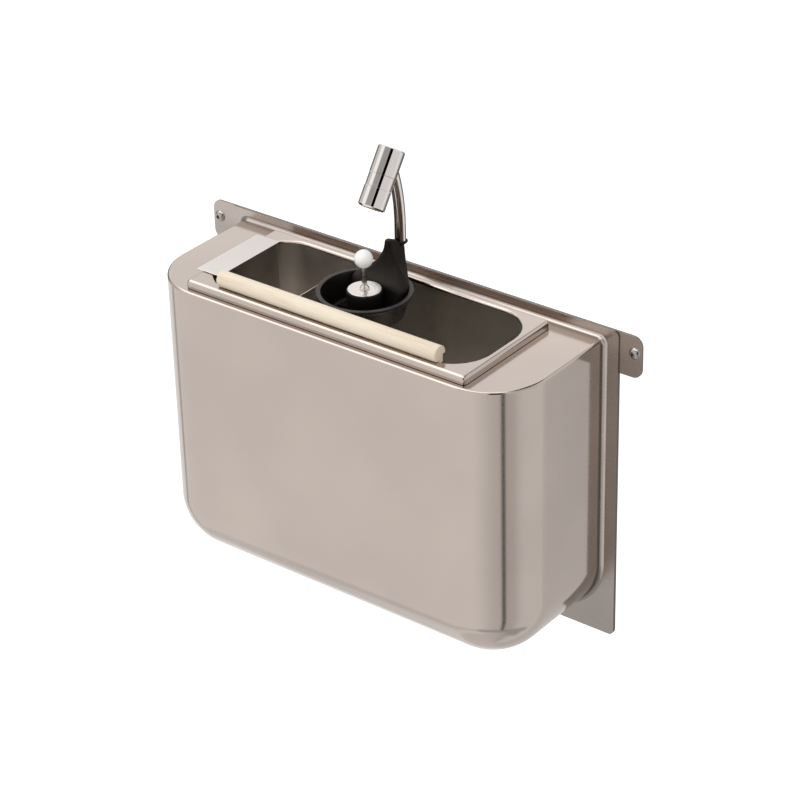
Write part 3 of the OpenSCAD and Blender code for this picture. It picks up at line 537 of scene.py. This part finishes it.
def moulded(name, color, rough, scale=900, grain=0.25, depth=0.00004, vary=0.15, shine=0.5, ribs=0):
    """Moulded plastic or rubber with a fine matt grain, and level ribs if their scale is given."""
    warm = (1, 0.86, 0.76, 1)
    mat, tree, shader = new_material(name, color, rough, Specular_IOR_Level=shine, Specular_Tint=warm)
    broad = spread(tree, noise(tree, 25), 0, 1)
    tone = tint(tree, broad, scaled(color, 1 - vary), scaled(color, 1 + vary))
    tree.links.new(tone, shader.inputs["Base Color"])
    fine = noise(tree, scale, (1, 1, 1), 2)
    tree.links.new(spread(tree, fine, rough - 0.06, rough + 0.06), shader.inputs["Roughness"])
    if ribs:
        coord = tree.nodes.new("ShaderNodeTexCoord")
        wave = tree.nodes.new("ShaderNodeTexWave")
        wave.bands_direction = "Z"
        wave.inputs["Scale"].default_value = ribs
        wave.inputs["Distortion"].default_value = 0.0
        tree.links.new(coord.outputs["Object"], wave.inputs["Vector"])
        bump(tree, shader, wave.outputs["Fac"], 0.6, 0.0003)
    else:
        bump(tree, shader, fine, grain, depth)
    return mat


def wood(name):
    """Bare beech, with long fine grain and short darker flecks along X."""
    light, dark, fleck = (0.86, 0.755, 0.61), (0.77, 0.645, 0.48), (0.88, 0.80, 0.70)
    mat, tree, shader = new_material(name, light, 0.55)
    grain = noise(tree, 55, (0.12, 1.6, 1.6), 5)
    flecks = noise(tree, 420, (0.08, 1, 1), 3)
    long_grain = tint(tree, spread(tree, grain, 0, 0.75), light, dark)
    tone = stained(tree, long_grain, fleck, spread(tree, flecks, -0.6, 0.55))
    tree.links.new(tone, shader.inputs["Base Color"])
    tree.links.new(spread(tree, grain, 0.5, 0.65), shader.inputs["Roughness"])
    bump(tree, shader, flecks, 0.25, 0.0001)
    return mat


# The object's materials

STEEL = (0.56, 0.485, 0.435)
STEEL_MAT = metal("satin_steel", STEEL, 0.12, (1, 1, 40), scale=25, wear=0.03, grain=0.04)
# Painted light: the fade raises the deck's tone towards the back
DECK_MAT = metal("deck_steel", STEEL, 0.15, (40, 1, 1), scale=25, vary=0.03, wear=0.04, grain=0.1,
                 painted_fades=[("Y", -110, -20, 1.07)])
# Painted highlight along the root fillet's crest: a lighter tone where it faces the eye, with painted shade
# where it turns away
ROOT_MAT = metal("root_steel", (0.62, 0.54, 0.49), 0.34, (1, 1, 1), scale=40, grain=0.02,
                 away=(0.17, 0.27, 0.42))
# The tray's tone is painted lighter than the deck's, as a painted reflection on its top, and its fade paints
# it darker towards the back
TRAY_MAT = metal("tray_steel", (0.76, 0.71, 0.675), 0.2, (1, 40, 1), scale=25, vary=0.03,
                 painted_fades=[("Y", -120, -40, 0.93)])
PAN_MAT = metal("pan_steel", (0.72, 0.68, 0.63), 0.33, (1, 40, 1), scale=25, vary=0.05, grain=0.2,
                depth=0.00003)
# Painted light and shade on the flange: a lighter top band as a painted reflection, darker below it and
# darker again towards its bottom
FLANGE_MAT = metal("flange_steel", (0.54, 0.475, 0.435), 0.3, (1, 1, 40), scale=25, grain=0.1,
                   painted_fades=[("Z", 6, -10, 0.82), ("Z", -120, -300, 0.75)], edges=0.4)
CHROME_MAT = metal("chrome", (0.84, 0.79, 0.75), 0.04, (1, 1, 1), scale=90, vary=0.01, wear=0.02, grain=0.01,
                   depth=0.00001)
DISC_MAT = turned("disc_chrome", (0.78, 0.735, 0.70), 0.14, 0.0, PAN_Y, 2600)
POST_MAT = metal("post_steel", (0.74, 0.70, 0.67), 0.24, (1, 1, 30), vary=0.03, wear=0.04, grain=0.2)
SCREW_MAT = metal("screw_zinc", (0.42, 0.385, 0.37), 0.16, (1, 1, 1), scale=300, vary=0.08, wear=0.06,
                  grain=0.2, depth=0.00004)
BRASS_MAT = metal("turned_brass", (0.70, 0.50, 0.22), 0.3, (1, 1, 30), vary=0.06, wear=0.08, grain=0.3,
                  depth=0.00004)
STEM_MAT = metal("turned_steel", (0.62, 0.60, 0.58), 0.25, (1, 1, 30), vary=0.05, wear=0.06, grain=0.3,
                 depth=0.00003)
BLACK_MAT = moulded("tower_black", (0.0054, 0.0046, 0.0040), 0.5, shine=0.21)
BOWL_MAT = moulded("bowl_black", (0.0065, 0.0055, 0.0048), 0.32, grain=0.12, shine=0.42)
TURRET_MAT = moulded("turret_black", (0.004, 0.0038, 0.0036), 0.4, shine=0.2, ribs=120)
RUBBER_MAT = moulded("seal_rubber", (0.025, 0.025, 0.025), 0.7)
BALL_MAT = moulded("ball_white", (0.97, 0.955, 0.94), 0.3, scale=300, grain=0.05, depth=0.00002, vary=0.01)
SPRAY_MAT = moulded("spray_grey", (0.12, 0.12, 0.12), 0.45)
DRAIN_MAT = moulded("drain_grey", (0.30, 0.30, 0.29), 0.4)
WOOD_MAT = wood("bar_beech")

NODE_MATERIALS = {
    STEEL_MAT: ["casing_shell"],
    DECK_MAT: ["deck_plate"],
    FLANGE_MAT: ["wall_flange", "mounting_rail"],
    SCREW_MAT: ["wall_screws"],
    PAN_MAT: ["pan", "water_column", "drain_body", "drain_strainer"],
    TRAY_MAT: ["scoop_tray"],
    WOOD_MAT: ["tapping_bar"],
    BOWL_MAT: ["rinse_bowl"],
    BLACK_MAT: ["tower_collar"],
    TURRET_MAT: ["turret"],
    DISC_MAT: ["press_disc"],
    POST_MAT: ["press_post"],
    CHROME_MAT: ["spout_tube", "head_body", "flow_ring", "nozzle_housing"],
    BALL_MAT: ["ball_knob"],
    BRASS_MAT: ["valve_cartridge", "column_nut", "spout_pivot", "spout_clip"],
    STEM_MAT: ["valve_stem", "return_spring", "head_core"],
    RUBBER_MAT: ["poppet_washer", "stem_seal", "column_gasket", "spout_seal", "core_seal", "drain_gasket"],
    SPRAY_MAT: ["spray_plate"],
    DRAIN_MAT: ["drain_nut", "drain_tail"],
}


# The CAD nodes

def dress(node, mat):
    """Gives a CAD node its material."""
    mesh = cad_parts[node].data
    mesh.materials.clear()
    mesh.materials.append(mat)


def soften(node, width, angle=35):
    """Gives a CAD node's sharp edges a small round, as bent and moulded edges have."""
    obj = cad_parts[node]
    weld = obj.modifiers.new("weld", "WELD")
    weld.merge_threshold = 1e-6
    bevel = obj.modifiers.new("bevel", "BEVEL")
    bevel.width = width * MM
    bevel.segments = 3
    bevel.limit_method = "ANGLE"
    bevel.angle_limit = radians(angle)
    bevel.harden_normals = True


# Casing and deck

def casing_outline(top, top_r=0.0):
    """The casing's outline seen from the front, from its top left round the bottom to its top right."""
    half = CASING["half"]
    left, right = [(-half, top, -1.0, 0.0)], [(half, top, 1.0, 0.0)]
    if top_r:
        left = arc(top_r - half, top - top_r, top_r, 90, 180, 8)
        right = arc(half - top_r, top - top_r, top_r, 0, 90, 8)
    return left + round_bottom(half, CASING["bottom"], CASING["r"], 16) + right


def build_casing():
    """The drawn shell with its pipe holes, and the fillet where it meets the flange."""
    r, front, bottom = CASING["r"], CASING["front"], CASING["bottom"]
    back = FLANGE_FRONT - ROOT_R
    section = [(0.0, back, 1.0, 0.0)] + arc(-r, front + r, r, 0, -90, 24)
    points, faces = shell(sweep_deep(casing_outline(DECK_TOP - DECK_EDGE_R), section), CASING["sheet"])
    cover = finish_mesh("casing_cover", points, faces, STEEL_MAT, "well", ["casing_shell"], edge=30)
    cutters = [drum(x, PAN_Y, bottom - CUT_BELOW, bottom + CUT_ABOVE, hole) for x, hole in PIPE_HOLES]
    carve(cover, cutters, 30)
    root = sweep_deep(casing_outline(DECK_TOP, ROOT_TOP_R), arc(ROOT_R, back, ROOT_R, 90, 180, 10, -1))
    made("casing_root", root, ROOT_MAT, "well")


def build_deck():
    """The deck with its rolled edge, open at the back, and the opening that the pan hangs in."""
    half, back = CASING["half"], FLANGE_FRONT - ROOT_R
    outline = [(-half, back, -1.0, 0.0)]
    outline += round_bottom(half, CASING["front"], CASING["r"], 24)
    outline.append((half, back, 1.0, 0.0))
    rings = sweep(outline, arc(-DECK_EDGE_R, DECK_TOP - DECK_EDGE_R, DECK_EDGE_R, 0, 90, 8))
    edge = [(x, y) for (x, y, z), n in rings[-1]]
    hole = [(x, y) for x, y, nx, ny in round_rect(*DECK_HOLE, PAN_Y)]
    made("deck_cover", thicken(rings, SHEET), DECK_MAT, "well", ["deck_plate"], False,
         (edge, [hole], DECK_TOP))


# Pan

def build_pan():
    """The pressed pan: turned-down rim, flat top, rolled mouth, drawn walls and a floor with two holes."""
    skirt = [(0.0, RIM_TOP - RIM_SKIRT, 1.0, 0.0)] + arc(-RIM_R, RIM_TOP - RIM_R, RIM_R, 0, 90, 10)
    mouth = arc(MOUTH_R, RIM_TOP - MOUTH_R, MOUTH_R, 90, 180, 8)
    rim = sweep(round_rect(*PAN_RIM, PAN_Y), skirt) + sweep(round_rect(*PAN_MOUTH, PAN_Y), mouth)
    made("pan_rim", thicken(rim, SHEET), DECK_MAT, "well", ["pan"])
    bend = arc(-FLOOR_R, PAN_FLOOR + FLOOR_R, FLOOR_R, 0, -90, 10, -1)
    walls = [rim[-1]] + sweep(round_rect(*PAN_WALL, PAN_Y), bend)
    edge = [(x, y) for (x, y, z), n in walls[-1]]
    holes = [ring_points(x, PAN_Y, r) for x, r in FLOOR_HOLES]
    made("pan_well", thicken(walls, SHEET), PAN_MAT, "well", [], True, (edge, holes, PAN_FLOOR))


# Bowl and tower

def build_bowl():
    """The moulded bowl with its flat rim, its socket on the column and the slots that drain it."""
    bowl = lathe("bowl_moulding", BOWL_PROFILE, (0, PAN_Y, 0), BOWL_MAT, "well", ["rinse_bowl"], 128)
    cutters = []
    for i in range(SLOTS):
        angle = radians(SLOT_SPREAD * (i / (SLOTS - 1) - 0.5) - 90)
        middle = (SLOT_FROM_AXIS * cos(angle), PAN_Y + SLOT_FROM_AXIS * sin(angle))
        cutters.append(slab(middle, angle, SLOT_LENGTH, SLOT_WIDTH, -SLOT_CUT, SLOT_CUT))
    carve(bowl, cutters, 30)


def eased(levels, z):
    """Values at height z from (height, values) levels, with soft changes of slope."""
    if z <= levels[0][0]:
        return levels[0][1]
    for k in range(len(levels) - 1):
        (z0, v0), (z1, v1) = levels[k], levels[k + 1]
        if z <= z1:
            before = levels[max(k - 1, 0)]
            after = levels[min(k + 2, len(levels) - 1)]
            h, t = z1 - z0, (z - z0) / (z1 - z0)
            out = []
            for i in range(len(v0)):
                s0 = (v1[i] - before[1][i]) / (z1 - before[0])
                s1 = (after[1][i] - v0[i]) / (after[0] - z0)
                out.append((2 * t ** 3 - 3 * t ** 2 + 1) * v0[i] + (t ** 3 - 2 * t ** 2 + t) * h * s0
                           + (3 * t ** 2 - 2 * t ** 3) * v1[i] + (t ** 3 - t ** 2) * h * s1)
            return out
    return levels[-1][1]


def tower_section(z, values, steps=96, fan=6):
    """One closed outline of the tower, whose points face evenly spaced directions."""
    reach, r, spread_angle, back_r, back = values
    discs = []
    for k in range(-fan, fan + 1):
        a = radians(spread_angle * k / fan)
        discs.append((reach * sin(a), reach * cos(a), r))
    discs.append((0.0, back, back_r))
    limit = WALL_FOOT_R + WALL_FLARE * z / BOWL_RIM if z < WALL_TOP else inf
    out = []
    for i in range(steps):
        nx, ny = cos(2 * pi * i / steps), sin(2 * pi * i / steps)
        cx, cy, cr = max(discs, key=lambda d: d[0] * nx + d[1] * ny + d[2])
        x, y = cx + cr * nx, cy + cr * ny
        far = hypot(x, y)
        if far > limit:
            x, y = x * limit / far, y * limit / far
        out.append((x, PAN_Y + y, z))
    return out


def build_tower():
    """The hollow tower that carries the spout, growing out of the back of the bowl, with its lip in front."""
    heights = [*TOWER_FOOT_LEVELS, *(BOWL_RIM + k for k in range(int(TOWER_TOP - BOWL_RIM)))]
    heights += [TOWER_TOP - TOWER_BRIM, TOWER_TOP]
    rings = [tower_section(z, eased(TOWER, z)) for z in heights]
    count = len(rings[0])
    points = [p for ring in rings for p in ring]
    faces = bands(count, len(rings))
    faces += [tuple(reversed(range(count))), tuple(range(len(points) - count, len(points)))]
    tower = finish_mesh("spout_tower", points, faces, BLACK_MAT, "well", edge=40)
    bores = [drum(0, PAN_Y, *TURRET_BORE), drum(0, SPOUT_Y, *WATER_BORE, 32), drum(0, SPOUT_Y, *COLLAR_BORE)]
    carve(tower, bores, 40)


# Studio

def studio_level(az, el):
    """How light the studio is in one direction, az from the front to the right and el above the level."""
    level = 0.95 + 0.18 * max(0.0, sin(radians(el)))
    for mid, half, soft, low, high, fade, target in CARDS:
        off = abs((az - mid + 180) % 360 - 180)
        side = min(1.0, max(0.0, (half + soft - off) / soft))
        rise = min(1.0, max(0.0, (el - low + fade) / fade)) * min(1.0, max(0.0, (high + fade - el) / fade))
        weight = side * side * (3 - 2 * side) * rise * rise * (3 - 2 * rise)
        level += (target - level) * weight
    return level


def build_tent():
    """A glowing tent round the object, light and dark by the cards, which only glossy surfaces see."""
    mesh = bpy.data.meshes.new("tent")
    work = bmesh.new()
    bmesh.ops.create_uvsphere(work, u_segments=240, v_segments=120, radius=TENT_R)
    work.to_mesh(mesh)
    work.free()
    levels = mesh.color_attributes.new("level", "FLOAT_COLOR", "POINT")
    for v, out in zip(mesh.vertices, levels.data):
        c = v.co.normalized()
        level = studio_level(degrees(atan2(c.x, -c.y)), degrees(atan2(c.z, hypot(c.x, c.y))))
        out.color = (level, level, level, 1)
    mat = bpy.data.materials.new("tent_cloth")
    mat.use_nodes = True
    tree = mat.node_tree
    tree.nodes.clear()
    attribute = tree.nodes.new("ShaderNodeVertexColor")
    attribute.layer_name = "level"
    glow = tree.nodes.new("ShaderNodeEmission")
    output = tree.nodes.new("ShaderNodeOutputMaterial")
    tree.links.new(attribute.outputs["Color"], glow.inputs["Color"])
    tree.links.new(glow.outputs["Emission"], output.inputs["Surface"])
    mesh.materials.append(mat)
    tent = bpy.data.objects.new("tent", mesh)
    tent.location = MIDDLE
    for ray in ("camera", "diffuse", "transmission", "volume_scatter", "shadow"):
        setattr(tent, "visible_" + ray, False)
    bpy.context.scene.collection.objects.link(tent)


def build_floor():
    """The plain pale floor, lifted a little towards white for the eye, with the object's shadow on it."""
    mesh = bpy.data.meshes.new("floor")
    corners = [(x * FLOOR_HALF, y * FLOOR_HALF, 0) for x, y in ((-1, -1), (1, -1), (1, 1), (-1, 1))]
    mesh.from_pydata(corners, [], [(0, 1, 2, 3)])
    mat, tree, shader = new_material("floor_white", (0.9, 0.9, 0.9), 0.9)
    shader.inputs["Emission Color"].default_value = (1, 1, 1, 1)
    path = tree.nodes.new("ShaderNodeLightPath")
    lift = tree.nodes.new("ShaderNodeMath")
    lift.operation = "MULTIPLY"
    lift.inputs[1].default_value = FLOOR_LIFT
    tree.links.new(path.outputs["Is Camera Ray"], lift.inputs[0])
    tree.links.new(lift.outputs["Value"], shader.inputs["Emission Strength"])
    mesh.materials.append(mat)
    floor = bpy.data.objects.new("floor", mesh)
    floor.location = (0, 0, FLOOR_Z)
    floor.visible_glossy = False
    bpy.context.scene.collection.objects.link(floor)


def build_world():
    """White for the eye, in metal and through glass, and a little less as the light all round."""
    world = bpy.data.worlds.new("studio")
    bpy.context.scene.world = world
    world.use_nodes = True
    tree = world.node_tree
    back = tree.nodes["Background"]
    path = tree.nodes.new("ShaderNodeLightPath")
    seen = path.outputs["Is Camera Ray"]
    for ray in ("Is Glossy Ray", "Is Transmission Ray"):
        either = tree.nodes.new("ShaderNodeMath")
        either.operation = "MAXIMUM"
        tree.links.new(seen, either.inputs[0])
        tree.links.new(path.outputs[ray], either.inputs[1])
        seen = either.outputs["Value"]
    tree.links.new(spread(tree, seen, WORLD_LIGHT, 1.0, 0, 1), back.inputs["Strength"])
    back.inputs["Color"].default_value = (1, 1, 1, 1)


def build_lamps():
    """The soft lamps, turned towards the object's middle."""
    for name, place, size, power in LAMPS:
        lamp = bpy.data.lights.new(name, "AREA")
        lamp.size = size
        lamp.energy = power
        obj = bpy.data.objects.new(name, lamp)
        obj.location = place
        obj.rotation_mode = "QUATERNION"
        obj.rotation_quaternion = (Vector(place) - Vector(MIDDLE)).to_track_quat("Z", "Y")
        obj.visible_glossy = False
        bpy.context.scene.collection.objects.link(obj)


def build_camera():
    """The photograph's camera: turned by azimuth and elevation, with a slight roll."""
    az, el, roll = (radians(a) for a in CAMERA_ANGLES)
    back = Vector((sin(az) * cos(el), -cos(az) * cos(el), sin(el)))
    side = Vector((cos(az), sin(az), 0))
    up = back.cross(side)
    right = side * cos(roll) + up * sin(roll)
    over = up * cos(roll) - side * sin(roll)
    data = bpy.data.cameras.new("camera")
    data.sensor_width = SENSOR_WIDTH
    data.lens = LENS
    data.clip_start, data.clip_end = CLIP_RANGE
    camera = bpy.data.objects.new("camera", data)
    turn = Matrix((right, over, back)).transposed()
    camera.matrix_world = Matrix.Translation(Vector(CAMERA_PLACE)) @ turn.to_4x4()
    bpy.context.scene.collection.objects.link(camera)
    bpy.context.scene.camera = camera


for mat, nodes in NODE_MATERIALS.items():
    for node in nodes:
        dress(node, mat)
for node, width in EDGE_WIDTHS.items():
    soften(node, width)
build_casing()
build_deck()
build_pan()
build_bowl()
build_tower()
bpy.context.scene.view_settings.view_transform = "Standard"
build_tent()
build_floor()
build_world()
build_lamps()
build_camera()
